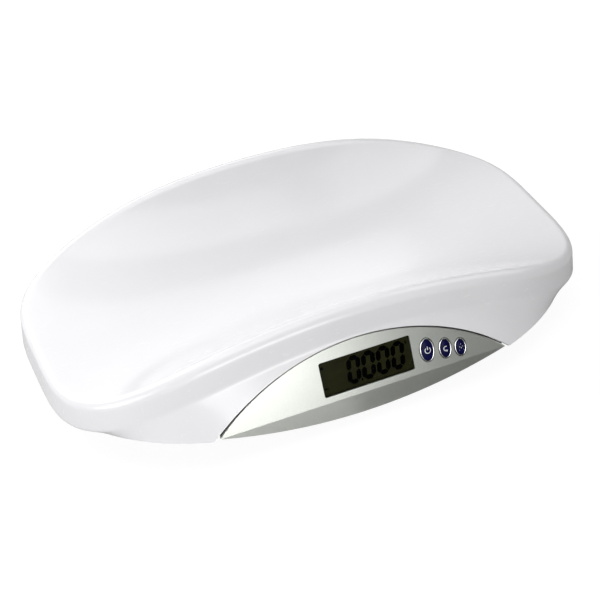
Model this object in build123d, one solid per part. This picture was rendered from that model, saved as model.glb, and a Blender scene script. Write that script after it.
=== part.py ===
from build123d import *
import os
from math import atan2, cos, hypot, pi, radians, sin, tan

# Baby weighing scale. Units are millimetres and +Z is up.
# The origin lies on the floor, under the middle of the weighing pan; +X is to the right
# of a person who reads the display, and -Y points at that person.

# ---------------------------------------------------------------- weighing pan
rim_half_length = 280.0        # outer edge of the rolled rim, along X
rim_half_width = 149.0         # outer edge of the rolled rim, along Y
rim_power = 3.7                # fullness of the rim's oval: 2 is an ellipse
rim_round = 9.0                # radius of the rolled rim
trough_end_height = 67.5       # trough at the middle of its two open ends, above the floor
trough_side_rise = 71.9        # how much higher its walls would be at the rim's outer edge
trough_dip = 6.0               # how far the middle of the trough lies below its ends
trough_quartic_share = 0.4     # share of the trough's rise that is held back to its walls
crease_end_height = 29.6       # crease below the flank at the two open ends, above the floor
crease_side_rise = 58.4        # how much higher the crease is at the middle of the long sides
crease_rise_power = 1.21       # how that rise fades towards the ends
flank_height = 25.9            # from the crease up to the level of the rim's outer edge
flank_draft = 3.4              # how far the flank leans out over that height
lip_half_length = 278.0        # bottom lip of the apron, along X
lip_front_half_width = 190.0   # the same oval's front half, where the console cuts it short
lip_power = 2.36
lip_height = 27.0              # lip above the floor
lip_round = 1.6
pan_wall = 3.0
pan_floor = 3.5
pan_boss_radius = 6.0
pan_rib = 2.0
oval_points = 48               # spline points round each oval

# ---------------------------------------------------------------- console
console_half_chord = 150.5     # half the fold line between its two points
console_arc_height = 56.4      # crescent's height, up its sloped facet
console_tilt = 70.0            # facet's angle to the floor, degrees
fold_height = 30.0             # fold line above the floor
nose_drop = 19.0               # lowest edge of the nose below the fold line
nose_reach = 5.0               # and how far it stands in front of the fold line
console_wall = 2.4
console_depth = 24.0           # from the facet to the back cover's outside
console_back_thickness = 2.0
console_tip_trim = 0.8         # the two points are blunted by this much
console_gap = 1.5              # gap between the pan's cut-out and the console
fold_round = 1.2               # radius along the fold line
arc_round = 0.7                # radius along the crescent's arc

# ---------------------------------------------------------------- display
window_width = 95.1
window_height = 35.7
window_radius = 2.0
window_u = 5.75                # window's centre along the fold line, from the middle
window_v = 24.15               # and up the facet, from the fold line
window_sink = 0.4              # clear window's face below the facet
window_flange = 3.0            # border of the window behind the wall
window_flange_thickness = 1.0
lcd_border = 2.5               # liquid-crystal cell's border round the window
lcd_thickness = 2.8
lcd_gap = 0.2                  # air between window and cell
segment_thickness = 0.12
digit_height = 28.6
digit_width = 13.2
digit_stroke = 3.8
digit_slant = 6.0              # degrees that the digits lean to the right
digit_pitch = 15.5
digit_first_u = -12.55         # first digit's centre, from the window's centre
digit_count = 4
sign_inset = 3.6               # small signs in the display's corners, from its edges
sign_stroke = 0.8
frame_wall = 2.0
board_depth = 13.0             # front of the circuit board behind the facet
board_thickness = 1.6
board_low_v = 1.5
board_high_v = 36.5
board_left_u = -60.0
board_right_u = 108.5
board_edge_gap = 5.0

# ---------------------------------------------------------------- buttons
# name, centre along the fold line, centre up the facet, ring's half width, half height
buttons = [
    ("power", 68.8, 21.5, 7.6, 12.3),
    ("mode", 87.6, 17.6, 6.6, 10.5),
    ("memory", 103.4, 14.0, 6.1, 9.3),
]
ring_rim = 1.5                 # width of the ring that shows round a cap
ring_proud = 0.9               # ring above the facet
ring_sleeve = 0.8              # sleeve's wall, where it goes through the facet
button_clearance = 0.25
button_travel = 0.7
cap_proud = 1.3                # cap's edge above the facet
cap_dome = 0.7                 # and its middle above its edge
cap_flange = 0.9               # collar that keeps the cap in
cap_flange_thickness = 1.2
stem_radius = 2.2
switch_size = 6.0
switch_height = 3.5
plunger_radius = 1.75
plunger_proud = 1.0
plunger_root = 0.4             # plunger's length inside its switch at rest

# ---------------------------------------------------------------- base
tray_length = 450.0
tray_width = 244.0
tray_corner = 70.0
tray_bottom = 8.0              # underside above the floor
tray_top = 37.0
tray_wall = 2.5
tray_edge_round = 4.0
cover_thickness = 2.5
cover_rib = 2.0
foot_radius = 14.0
foot_x = 170.0
foot_y = 85.0
foot_taper = 1.5
cover_screw_x = 205.0
cover_screw_y = 62.0
boss_radius = 4.5

# ---------------------------------------------------------------- load cell
cell_length = 130.0
cell_width = 30.0
cell_height = 22.0
cell_bottom = 14.5             # above the floor
cell_screw_near = 42.0         # screws along X, from the middle
cell_screw_far = 57.0
cell_bore_radius = 8.0
cell_bore_spacing = 22.0
spacer_length = 34.0
seat_top = 12.5                # moulded seat under the cell's fixed end
top_spacer_height = 7.5
support_length = 256.0
support_width = 136.0
support_corner = 18.0
support_thickness = 2.5
pan_screw_x = 110.0
pan_screw_y = 55.0
stop_x = 62.0
stop_y = 55.0
pan_travel = 0.6               # full-load deflection, down to the overload stops
stop_margin = 0.1

# ---------------------------------------------------------------- batteries
battery_radius = 7.25
battery_length = 50.5
battery_pitch = 15.2
battery_y = 80.0               # middle of the battery box along Y
contact_room = 2.6             # between a battery's end and the box's wall
door_half_width = 60.0
door_thickness = 1.9
door_front_y = 60.0
door_clearance = 0.3
door_tongue = 1.4
box_wall = 2.0

# ---------------------------------------------------------------- screws and leads
m3, m4, m5, m6 = 1.5, 2.0, 2.5, 3.0   # shank radii
thread_clearance = 0.05
hole_clearance = 0.25
head_ratio = 1.9               # head radius over shank radius
lead_radius = 1.75
lead_bend = 7.0
lead_height = 30.0             # where the leads pass the tray's front wall
cell_lead_u = -22.0
battery_lead_u = 8.0
socket_v = 24.0
socket_height = 5.0
socket_depth = 4.5

# ---------------------------------------------------------------- places worked out from these
lean = radians(console_tilt)
up_y, up_z = cos(lean), sin(lean)
fold_y = -lip_front_half_width * (1 - (console_half_chord / lip_half_length) ** lip_power) ** (1 / lip_power)
nose_y = fold_y - nose_reach
lip_rear_half_width = -nose_y + 0.4 * lip_round
console_back_face = -(console_depth - console_back_thickness)
console_radius = (console_half_chord ** 2 + console_arc_height ** 2) / (2 * console_arc_height)
belly_radius = (console_half_chord ** 2 + nose_drop ** 2) / (2 * nose_drop)
panel = Plane(origin=(0, fold_y, fold_height), x_dir=(1, 0, 0), z_dir=(0, -up_z, up_y))
panel_axis = Axis((0, fold_y, fold_height), (0, -up_z, up_y))
tray_front_y = -tray_width / 2
cell_top = cell_bottom + cell_height
support_bottom = cell_top + top_spacer_height
support_top = support_bottom + support_thickness
cover_top = tray_top + cover_thickness
floor_top = tray_bottom + tray_wall
foot_places = [(sx * foot_x, sy * foot_y) for sx in (-1, 1) for sy in (-1, 1)]
cover_screw_places = [(sx * cover_screw_x, sy * cover_screw_y) for sx in (-1, 1) for sy in (-1, 1)]
pan_screw_places = [(sx * pan_screw_x, sy * pan_screw_y) for sx in (-1, 1) for sy in (-1, 1)]
stop_places = [(sx * stop_x, sy * stop_y) for sx in (-1, 1) for sy in (-1, 1)]
cell_fixed_screws = [-cell_screw_far, -cell_screw_near]
cell_live_screws = [cell_screw_near, cell_screw_far]
console_mount_places = [(-100.0, 27.0), (-50.0, 21.0), (50.0, 21.0), (100.0, 27.0)]   # along X, height
board_screw_places = [(-53.0, 12.0), (-53.0, 31.0), (79.0, 32.5), (79.0, 5.5)]        # on the facet
back_screw_places = [(-113.5, 20.5), (-62.0, 40.5), (62.0, 40.5), (113.5, 20.5)]
door_top = tray_bottom + door_thickness
box_half_length = battery_length + contact_room
box_half_width = battery_pitch / 2 + battery_radius + 0.6
box_bottom = door_top + door_clearance
battery_z = box_bottom + 0.6 + battery_radius
box_top = battery_z + battery_radius + 0.6
lcd_front = console_wall + window_flange_thickness + lcd_gap
lcd_back = lcd_front + lcd_thickness
lead_w = -board_depth - board_thickness - socket_depth / 2


# ---------------------------------------------------------------- small helpers
def block(x, y, z):
    """Box between two limits along each axis."""
    size = (x[1] - x[0], y[1] - y[0], z[1] - z[0])
    middle = ((x[0] + x[1]) / 2, (y[0] + y[1]) / 2, (z[0] + z[1]) / 2)
    return Pos(*middle) * Box(*size)


def rod(x, y, low, high, radius):
    """Upright cylinder between two heights."""
    return Pos(x, y, (low + high) / 2) * Cylinder(radius, high - low)


def on_panel(shape, u=0.0, v=0.0, w=0.0):
    """Shape made on the facet's own axes, put in its place; w points out of the facet."""
    return panel.location * Pos(u, v, w) * shape


def panel_prism(sketch, outer, inner, u=0.0, v=0.0):
    """Sketch on the facet, extruded from w = outer to w = inner."""
    return on_panel(extrude(sketch, inner - outer, dir=(0, 0, 1)), u, v, outer)


def panel_rod(u, v, outer, inner, radius):
    return panel_prism(Circle(radius), outer, inner, u, v)


def screw_z(x, y, seat, length, radius, head_up=True):
    """Pan-head screw along Z; seat is the height of the face under its head."""
    sign = 1 if head_up else -1
    head = 1.1 * radius
    shank_end = seat - sign * length
    shank = rod(x, y, min(seat, shank_end), max(seat, shank_end), radius)
    top = rod(x, y, min(seat, seat + sign * head), max(seat, seat + sign * head), head_ratio * radius)
    slot_low = seat + sign * head * 0.45
    slot_high = seat + sign * (head + 1)
    slot_span = (min(slot_low, slot_high), max(slot_low, slot_high))
    slot = block((x - radius, x + radius), (y - 0.5, y + 0.5), slot_span)
    return shank + top - slot


def screw_panel(u, v, seat, length, radius):
    """Pan-head screw that goes into the facet's wall from behind."""
    head = 1.1 * radius
    shank = panel_rod(u, v, seat + length, seat, radius)
    return shank + panel_rod(u, v, seat, seat - head, head_ratio * radius)


def rounded_plate(length, width, corner, low, high):
    return Pos(0, 0, low) * extrude(RectangleRounded(length, width, corner), high - low)


# ---------------------------------------------------------------- weighing pan
def oval(half_length, front, rear, power, angle):
    """Point of a superellipse at an angle, and the outward normal there."""
    c, s = cos(angle), sin(angle)
    width = rear if s > 0 else front
    reach = (abs(c / half_length) ** power + abs(s / width) ** power) ** (-1 / power)
    x, y = reach * c, reach * s
    slope_x = (1 if c > 0 else -1) * abs(x / half_length) ** (power - 1) / half_length
    slope_y = (1 if s > 0 else -1) * abs(y / width) ** (power - 1) / width
    size = hypot(slope_x, slope_y)
    return x, y, slope_x / size, slope_y / size


def crease_height(x):
    """Crease above the floor, at a distance along X."""
    share = max(0.0, 1 - (x / rim_half_length) ** 2)
    return crease_end_height + crease_side_rise * share ** crease_rise_power


loft_top = trough_end_height + trough_side_rise + 2 * rim_round


def pan_ring(level, inset):
    """Closed curve round the pan: the lip, the crease, or the flank carried up past the rim."""
    points = []
    for i in range(oval_points):
        angle = 2 * pi * (i + 0.5) / oval_points
        if level == "lip":
            x, y, nx, ny = oval(lip_half_length, lip_front_half_width, lip_rear_half_width, lip_power, angle)
            shift, z = -1.2 * inset, lip_height
        else:
            x, y, nx, ny = oval(rim_half_length, rim_half_width, rim_half_width, rim_power, angle)
            crease = crease_height(x)
            shift, z = flank_draft - 1.1 * inset, crease
            if level == "top":
                z = loft_top
                shift -= flank_draft * (loft_top - crease) / flank_height
        points.append(Vector(x + shift * nx, y + shift * ny, z))
    return Wire([Edge.make_spline(points, periodic=True)])


def trough_surface(lowered):
    """Saddle of the trough: a Bezier patch, quadratic along X and quartic along Y."""
    half_x, half_y = rim_half_length * 1.2, rim_half_width * 1.5
    climb = trough_side_rise + trough_dip
    square = (half_y / rim_half_width) ** 2
    edge = (half_x / rim_half_length) ** 2
    along = (1 - edge, 1 + edge, 1 - edge)
    parabola = (1, 0, -1 / 3, 0, 1)
    quartic = (1, -1, 1, -1, 1)
    share = trough_quartic_share
    across = [climb * ((1 - share) * square * p + share * square ** 2 * q) - trough_dip
              for p, q in zip(parabola, quartic)]
    level = trough_end_height - lowered
    grid = [[(half_x * i, half_y * j / 2, level + a * b) for j, b in zip(range(-2, 3), across)]
            for i, a in zip((-1, 0, 1), along)]
    return Face.make_bezier_surface(grid)


def pan_form(inset, lowered):
    """Solid inside the pan's skin, or inside its cavity when inset by the wall."""
    outline = Solid.make_loft([pan_ring(level, inset) for level in ("top", "crease", "lip")], ruled=True)
    above = Solid.extrude(trough_surface(lowered), Vector(0, 0, 2 * loft_top))
    form = outline - above
    saddle = [face for face in form.faces() if face.geom_type == GeomType.BEZIER][0]
    return form.fillet(rim_round - inset, saddle.edges())


def pan_stiffening():
    """Screw bosses and ribs on the underside of the trough."""
    low = support_top + 1.5
    across = pan_screw_x + 50
    along = pan_screw_y + 25
    bosses = [rod(x, y, support_top, loft_top, pan_boss_radius) for x, y in pan_screw_places]
    ribs = [block((-across, across), (y - pan_rib / 2, y + pan_rib / 2), (low, loft_top))
            for y in (-pan_screw_y, pan_screw_y)]
    ribs += [block((x - pan_rib / 2, x + pan_rib / 2), (-along, along), (low, loft_top))
             for x in (-pan_screw_x, pan_screw_x)]
    form = Part() + bosses + ribs
    thread = m4 + thread_clearance
    return form - [rod(x, y, support_top - 1, support_top + 9, thread) for x, y in pan_screw_places]


def bottom_face(shape):
    return shape.faces().sort_by(Axis.Z)[0]


def make_pan():
    skin = pan_form(0, 0)
    skin = skin.fillet(lip_round, bottom_face(skin).edges())
    cavity = pan_form(pan_wall, pan_floor) - pan_stiffening()
    lip = Face(bottom_face(skin).outer_wire(), [bottom_face(cavity).outer_wire()])
    sides = [face for form in (skin, cavity) for face in form.faces().sort_by(Axis.Z)[1:]]
    pan = Solid(Shell(sides + [lip]))
    return pan - panel_prism(pan_cut_out(), 40, -40)


def pan_cut_out():
    """The console's crescent with the gap round it, on the facet's axes."""
    return Pos(0, console_arc_height - console_radius) * Circle(console_radius + console_gap)


# ---------------------------------------------------------------- console
def console_form(inset):
    """Body of the console, or its cavity when inset by the wall.

    A crescent pushed back along the facet's normal, a side profile and a curved belly
    limit it together.
    """
    crescent = Pos(0, console_arc_height - console_radius) * Circle(console_radius - inset)
    prism = panel_prism(crescent, 10, -110)
    belly_centre = fold_height - nose_drop + belly_radius
    belly = extrude(Plane.XZ * Pos(0, belly_centre) * Circle(belly_radius - inset), 300, both=True)
    roof = tray_top - inset
    rear = tray_front_y + 2 * inset
    depth = console_depth

    def slope_point(v, w):
        return fold_y + v * up_y - w * up_z, fold_height + v * up_z + w * up_y

    nose_lean = atan2(nose_reach, nose_drop)
    nose_shift = inset / cos(nose_lean)
    far = 3 * console_arc_height
    back_low_v = (roof - fold_height + depth * up_y) / up_z
    fold = slope_point(0, -inset)
    nose_top = (fold_y + nose_shift, fold_height)
    # both inner faces are carried on until they meet behind the fold
    corner = meet(fold, (up_y, up_z), nose_top, (-nose_reach, -nose_drop))
    nose_low = (corner[0] - 3 * nose_reach, corner[1] - 3 * nose_drop)
    top = slope_point(far, -inset)
    top_back = slope_point(far, -depth)
    knee = slope_point(back_low_v, -depth)
    outline = [corner, top, top_back, knee, (rear, roof), (rear, nose_low[1]), nose_low]
    section = make_face(Polyline(*outline, close=True))
    if inset == 0:
        section = fillet(section.vertices().sort_by_distance(Vector(*corner))[0], fold_round)
    profile = extrude(Plane.YZ * section, 2 * console_half_chord, both=True)
    trim = console_half_chord - console_tip_trim - inset
    span = block((-trim, trim), (-400, 0), (-50, 300))
    form = prism & profile
    if inset == 0:
        arcs = form.edges().filter_by(GeomType.CIRCLE)
        form = form.fillet(arc_round, [arcs.sort_by(panel_axis)[-1]])
    return form & belly & span


def meet(p, d, q, e):
    """Where the line through p along d crosses the line through q along e."""
    cross = d[0] * e[1] - d[1] * e[0]
    t = ((q[0] - p[0]) * e[1] - (q[1] - p[1]) * e[0]) / cross
    return p[0] + t * d[0], p[1] + t * d[1]


def ring_hole(half_width, half_height):
    """Half axes of the oval hole that a button's sleeve goes through."""
    return half_width - 0.7, half_height - 0.7


def make_console_housing():
    body = console_form(0)
    hollow = console_form(console_wall)
    for x, z in console_mount_places:
        hollow -= block((x - 4, x + 4), (tray_front_y - 12, tray_front_y + 10), (-10, z + 5))
    for u, v in board_screw_places:
        hollow -= panel_rod(u, v, 0, -board_depth, 3.0)
    for u, v in back_screw_places:
        hollow -= panel_rod(u, v, 0, console_back_face, 3.5)
    back_seat = panel_prism(crescent_plate(console_wall / 2), console_back_face, -console_depth - 5)
    body = body - hollow - back_seat
    opening = RectangleRounded(window_width, window_height, window_radius)
    body -= panel_prism(opening, 5, -5, window_u, window_v)
    for name, u, v, half_width, half_height in buttons:
        body -= panel_prism(Ellipse(*ring_hole(half_width, half_height)), 5, -5, u, v)
    for u, v in board_screw_places:
        body -= panel_rod(u, v, -board_depth + 8, -board_depth - 1, m3 / 1.2 + thread_clearance)
    for u, v in back_screw_places:
        body -= panel_rod(u, v, console_back_face + 9, console_back_face - 1, m3 / 1.2 + thread_clearance)
    for x, z in console_mount_places:
        hole = Pos(x, tray_front_y - 4.5, z) * Rot(90, 0, 0) * Cylinder(m3 + thread_clearance, 11)
        body -= hole
    return body


def crescent_plate(inset):
    """Outline of the console's back cover, on the facet's axes."""
    disc = Pos(0, console_arc_height - console_radius) * Circle(console_radius - inset)
    low = (tray_top - fold_height + console_depth * up_y) / up_z + 0.6
    keep = Pos(0, low + console_arc_height) * Rectangle(2 * console_half_chord, 2 * console_arc_height)
    return disc & keep


def make_console_back():
    plate = panel_prism(crescent_plate(console_wall / 2 + 0.15), console_back_face, -console_depth)
    for u, v in back_screw_places:
        plate -= panel_rod(u, v, 0, -2 * console_depth, m3 / 1.2 + hole_clearance)
    return plate


def make_display_window():
    pane = RectangleRounded(window_width - 0.3, window_height - 0.3, window_radius - 0.15)
    border = 2 * window_flange
    flange = RectangleRounded(window_width + border, window_height + border, window_radius)
    front = panel_prism(pane, -window_sink, -console_wall - 0.2, window_u, window_v)
    back = panel_prism(flange, -console_wall, -console_wall - window_flange_thickness, window_u, window_v)
    return front + back


def make_lcd_panel():
    cell = Rectangle(window_width + 2 * lcd_border, window_height + 2 * lcd_border)
    return panel_prism(cell, -lcd_front, -lcd_back, window_u, window_v)


def bar_segment(length, stroke):
    """One six-sided bar of a seven-segment digit, lying along X."""
    half, edge = length / 2, stroke / 2
    return Polygon((-half, 0), (-half + edge, edge), (half - edge, edge), (half, 0),
                   (half - edge, -edge), (-half + edge, -edge), align=None)


def upright_segment(length, stroke, lean):
    """The same bar on end, sheared so that its top leads by the lean for each unit of height."""
    half, edge = length / 2, stroke / 2
    corners = [(0, -half), (edge, -half + edge), (edge, half - edge),
               (0, half), (-edge, half - edge), (-edge, -half + edge)]
    return Polygon(*[(x + y * lean, y) for x, y in corners], align=None)


def make_lcd_segments():
    """Zeros of a scale at rest with the point after the first one, and three small signs."""
    bars = []
    inner_width = digit_width - digit_stroke
    inner_height = (digit_height - digit_stroke) / 2
    lean = tan(radians(digit_slant))
    level = bar_segment(inner_width - 0.5, digit_stroke)
    upright = upright_segment(inner_height - 0.5, digit_stroke, lean)
    for i in range(digit_count):
        u = digit_first_u + i * digit_pitch
        for side in (-1, 1):
            bars.append(Pos(u + side * inner_height * lean, side * inner_height) * level)
            for half in (-1, 1):
                shift = half * inner_height / 2
                bars.append(Pos(u + side * inner_width / 2 + shift * lean, shift) * upright)
    point_v = -inner_height - 0.5
    bars.append(Pos(digit_first_u + digit_pitch / 2 + point_v * lean, point_v) * Rectangle(2.0, 2.6))
    edge_u, edge_v = window_width / 2 - sign_inset, window_height / 2 - 2 * sign_inset
    bars.append(Pos(-edge_u, edge_v) * (Circle(2 * sign_stroke) - Circle(sign_stroke)))
    bars.append(Pos(-edge_u + sign_stroke, -edge_v) * Rectangle(5 * sign_stroke, 2 * sign_stroke))
    bars.append(Pos(edge_u, edge_v) * Rectangle(1.5 * sign_stroke, 4 * sign_stroke))
    face = -lcd_front + segment_thickness
    return Compound([panel_prism(bar, face, -lcd_front, window_u, window_v) for bar in bars])


def make_display_frame():
    outer = Rectangle(window_width + 2 * window_flange, window_height + 2 * window_flange)
    inner = Rectangle(window_width - 2 * frame_wall, window_height - 2 * frame_wall)
    return panel_prism(outer - inner, -lcd_back, -board_depth, window_u, window_v)


def make_zebra_strip():
    width = window_width - 4 * frame_wall
    low = window_v - window_height / 2 + frame_wall + 0.2
    strip = Pos(window_u, low + 1.2) * Rectangle(width, 2.4)
    return panel_prism(strip, -lcd_back, -board_depth)


def make_control_board():
    disc = Pos(0, console_arc_height - console_radius) * Circle(console_radius - board_edge_gap)
    middle = ((board_left_u + board_right_u) / 2, (board_low_v + board_high_v) / 2)
    keep = Pos(*middle) * Rectangle(board_right_u - board_left_u, board_high_v - board_low_v)
    board = panel_prism(disc & keep, -board_depth, -board_depth - board_thickness)
    for u, v in board_screw_places:
        board -= panel_rod(u, v, 0, -2 * board_depth, m3 / 1.2 + hole_clearance)
    return board


def make_board_parts():
    """Chip under its resin drop, two capacitors and two lead sockets, on the board's back."""
    face = -board_depth - board_thickness
    resin = panel_rod(32, 20, face, face - 1.4, 8)
    capacitors = [panel_rod(52, v, face, face - 5, 2.5) for v in (12, 26)]
    sockets = [panel_prism(Rectangle(10, socket_height), face, face - socket_depth, u, socket_v)
               for u in (cell_lead_u, battery_lead_u)]
    return Compound([resin, *capacitors, *sockets])


def make_switch_bodies():
    bodies = []
    for name, u, v, half_width, half_height in buttons:
        top = -board_depth + switch_height
        body = panel_prism(Rectangle(switch_size, switch_size), top, -board_depth, u, v)
        well = plunger_root + button_travel + 0.2
        bodies.append(body - panel_rod(u, v, top + 1, top - well, plunger_radius + 0.1))
    return Compound(bodies)


def make_ring(u, v, half_width, half_height):
    """Chrome ring with a sleeve that goes through the facet."""
    hole = ring_hole(half_width, half_height)
    outer = Ellipse(half_width, half_height)
    sleeve = Ellipse(hole[0] - 0.05, hole[1] - 0.05)
    bore = Ellipse(half_width - ring_rim, half_height - ring_rim)
    ring = panel_prism(outer, ring_proud, 0, u, v)
    ring = ring.chamfer(0.35, None, ring.faces().sort_by(panel_axis)[-1].edges())
    ring += panel_prism(sleeve, 0, -console_wall, u, v)
    return ring - panel_prism(bore, 5, -5, u, v)


def make_cap(u, v, half_width, half_height):
    """Oval cap with a domed face, a collar behind the ring and a stem over its switch."""
    wide = half_width - ring_rim - button_clearance
    high = half_height - ring_rim - button_clearance
    collar_back = -console_wall - button_travel - 0.3
    cap = panel_prism(Ellipse(wide, high), cap_proud, collar_back, u, v)
    face = cap.faces().sort_by(panel_axis)[-1]
    cap = cap.fillet(cap_dome, face.edges())
    collar = Ellipse(wide + cap_flange, high + cap_flange)
    cap += panel_prism(collar, -console_wall - 0.15, -console_wall - 0.15 - cap_flange_thickness, u, v)
    stem_end = -board_depth + switch_height + plunger_proud
    return cap + panel_rod(u, v, collar_back + 1, stem_end, stem_radius)


def make_plunger(u, v):
    top = -board_depth + switch_height
    return panel_rod(u, v, top + plunger_proud, top - plunger_root, plunger_radius)


# ---------------------------------------------------------------- base
def battery_places():
    """Middle of each battery: two side by side, two end to end."""
    return [(sx * (battery_length / 2 + 0.2), battery_y + sy * battery_pitch / 2)
            for sx in (-1, 1) for sy in (-1, 1)]


def tray_outer():
    body = rounded_plate(tray_length, tray_width, tray_corner, tray_bottom, tray_top)
    return body.fillet(tray_edge_round, body.faces().sort_by(Axis.Z)[0].edges())


def door_form(grow):
    """Door between its limits; grown by the clearance it is the room that the door slides in."""
    wide = door_half_width + grow
    high = door_top + grow
    plate = block((-wide, wide), (door_front_y - grow, tray_width), (tray_bottom - 5 * grow, high))
    tongue = block((-wide - door_tongue, wide + door_tongue), (door_front_y - grow, tray_width),
                   (door_top - 0.9 - grow, high))
    return plate + tongue


def make_base_tray():
    body = tray_outer()
    inside = rounded_plate(tray_length - 2 * tray_wall, tray_width - 2 * tray_wall, tray_corner - tray_wall,
                           floor_top, tray_top + 5)
    for x, y in cover_screw_places:
        inside -= rod(x, y, tray_bottom, tray_top, boss_radius)
    for x, y in foot_places:
        inside -= rod(x, y, tray_bottom, floor_top + 10, boss_radius)
    seat_half = spacer_length / 2 + 3
    seat_x = -(cell_screw_near + cell_screw_far) / 2
    inside -= block((seat_x - seat_half, seat_x + seat_half), (-cell_width / 2 - 2, cell_width / 2 + 2),
                    (tray_bottom, seat_top))
    pad_half = door_half_width + door_tongue + 4
    inside -= block((-pad_half, pad_half), (door_front_y - 4, tray_width), (tray_bottom, door_top + 3))
    inside -= block((-box_half_length - box_wall, box_half_length + box_wall),
                    (battery_y - box_half_width - box_wall, battery_y + box_half_width + box_wall),
                    (tray_bottom, box_top + box_wall))
    for y in (-45.0, 45.0):
        inside -= block((-tray_length, tray_length), (y - 1, y + 1), (tray_bottom, floor_top + 6))
    for x in (-140.0, 140.0):
        inside -= block((x - 1, x + 1), (-tray_width, tray_width), (tray_bottom, floor_top + 6))
    body = body - inside
    body -= block((-box_half_length, box_half_length),
                  (battery_y - box_half_width, battery_y + box_half_width), (tray_bottom - 1, box_top))
    body -= door_form(door_clearance)
    for x, y in cover_screw_places:
        body -= rod(x, y, tray_top - 10, tray_top + 1, m3 + thread_clearance)
    for x, y in foot_places:
        body -= rod(x, y, tray_bottom - 1, floor_top + 8, m4 + thread_clearance)
    for x in cell_fixed_screws:
        body -= rod(x, 0, tray_bottom - 1, seat_top + 1, m6 + hole_clearance)
        body -= rod(x, 0, tray_bottom - 1, seat_top - 1.2, head_ratio * m6 + 0.3)
    for x, z in console_mount_places:
        body -= Pos(x, tray_front_y + 1, z) * Rot(90, 0, 0) * Cylinder(m3 + hole_clearance, 8)
    for u in (cell_lead_u, battery_lead_u):
        body -= Pos(u, tray_front_y + 1, lead_height) * Rot(90, 0, 0) * Cylinder(lead_radius + 1, 8)
    return body


def make_base_cover():
    plate = rounded_plate(tray_length, tray_width, tray_corner, tray_top, cover_top)
    outer, inner = [RectangleRounded(tray_length - 2 * inset, tray_width - 2 * inset, tray_corner - inset)
                    for inset in (tray_wall + 0.3, tray_wall + 1.8)]
    plate += Pos(0, 0, tray_top - cover_rib) * extrude(outer - inner, cover_rib)
    for x, y in stop_places:
        plate += rod(x, y, tray_top - 4, cover_top, m5 + 2.5)
    room = 2.0
    plate -= block((-cell_length / 2 - room, cell_length / 2 + room),
                   (-cell_width / 2 - room, cell_width / 2 + room), (0, 2 * cover_top))
    for x, y in cover_screw_places:
        plate -= rod(x, y, 0, 2 * cover_top, m3 + hole_clearance)
    for x, y in stop_places:
        plate -= rod(x, y, 0, 2 * cover_top, m5 + thread_clearance)
    return plate


def make_battery_door():
    door = door_form(0) & tray_outer()
    door -= block((-2 * door_half_width, 2 * door_half_width), (tray_width / 2 - 0.5, tray_width),
                  (0, tray_top))
    for i in range(5):
        y = tray_width / 2 - 12 - 3 * i
        door -= block((-16, 16), (y - 0.8, y + 0.8), (0, tray_bottom + 0.7))
    slit = door_front_y + 22
    for x in (-9.0, 9.0):
        door -= block((x - 0.6, x + 0.6), (door_front_y - 1, slit), (0, tray_top))
    return door


def make_batteries():
    cells = []
    for i, (x, y) in enumerate(battery_places()):
        sign = 1 if i % 2 == 0 else -1
        can = Cylinder(battery_radius, battery_length - 1.5)
        cap = Pos(0, 0, battery_length / 2 - 0.75) * Cylinder(2.75, 1.5)
        cell = Pos(0, 0, -0.75) * can + cap
        cells.append(Pos(x, y, battery_z) * Rot(0, 90 * sign, 0) * cell)
    return Compound(cells)


def make_battery_contacts():
    """Bent bronze leaf at each outer end of the battery rows."""
    leaves = []
    wall = box_half_length
    for side in (-1, 1):
        for y in (battery_y - battery_pitch / 2, battery_y + battery_pitch / 2):
            plate = block((wall - 0.5, wall - 0.1), (y - 5, y + 5), (battery_z - 5, battery_z + 5))
            spring = block((wall - contact_room + 0.45, wall - contact_room + 0.85), (y - 3, y + 3),
                           (battery_z - 3.5, battery_z + 3.5))
            bridge = block((wall - contact_room + 0.45, wall - 0.1), (y - 3, y + 3),
                           (battery_z + 3.1, battery_z + 3.5))
            leaf = plate + spring + bridge
            leaves.append(leaf if side > 0 else leaf.mirror(Plane.YZ))
    return Compound(leaves)


def make_feet():
    feet = []
    for x, y in foot_places:
        low = Circle(foot_radius)
        high = Pos(0, 0, tray_bottom) * Circle(foot_radius + foot_taper)
        foot = loft([low, high])
        foot -= Pos(0, 0, 0.5) * Cylinder(m4 * head_ratio + 0.6, 8)
        foot -= Cylinder(m4 + hole_clearance, 40)
        feet.append(Pos(x, y, 0) * foot)
    return Compound(feet)


# ---------------------------------------------------------------- load cell and pan support
def make_load_cell():
    """Single-point aluminium bar with the waisted bore that lets it bend."""
    bar = block((-cell_length / 2, cell_length / 2), (-cell_width / 2, cell_width / 2),
                (cell_bottom, cell_top))
    middle = (cell_bottom + cell_top) / 2
    for x in (-cell_bore_spacing / 2, cell_bore_spacing / 2):
        bar -= Pos(x, 0, middle) * Rot(90, 0, 0) * Cylinder(cell_bore_radius, cell_width + 2)
    bar -= block((-cell_bore_spacing / 2, cell_bore_spacing / 2), (-cell_width, cell_width),
                 (middle - 2.5, middle + 2.5))
    for x in cell_fixed_screws:
        bar -= rod(x, 0, cell_bottom - 1, cell_bottom + 14, m6 + thread_clearance)
    for x in cell_live_screws:
        bar -= rod(x, 0, cell_top - 14, cell_top + 1, m6 + thread_clearance)
    return bar


def make_spacer(screws, low, high):
    middle = sum(screws) / 2
    body = block((middle - spacer_length / 2, middle + spacer_length / 2),
                 (-cell_width / 2, cell_width / 2), (low, high))
    for x in screws:
        body -= rod(x, 0, low - 1, high + 1, m6 + hole_clearance)
    return body


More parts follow.
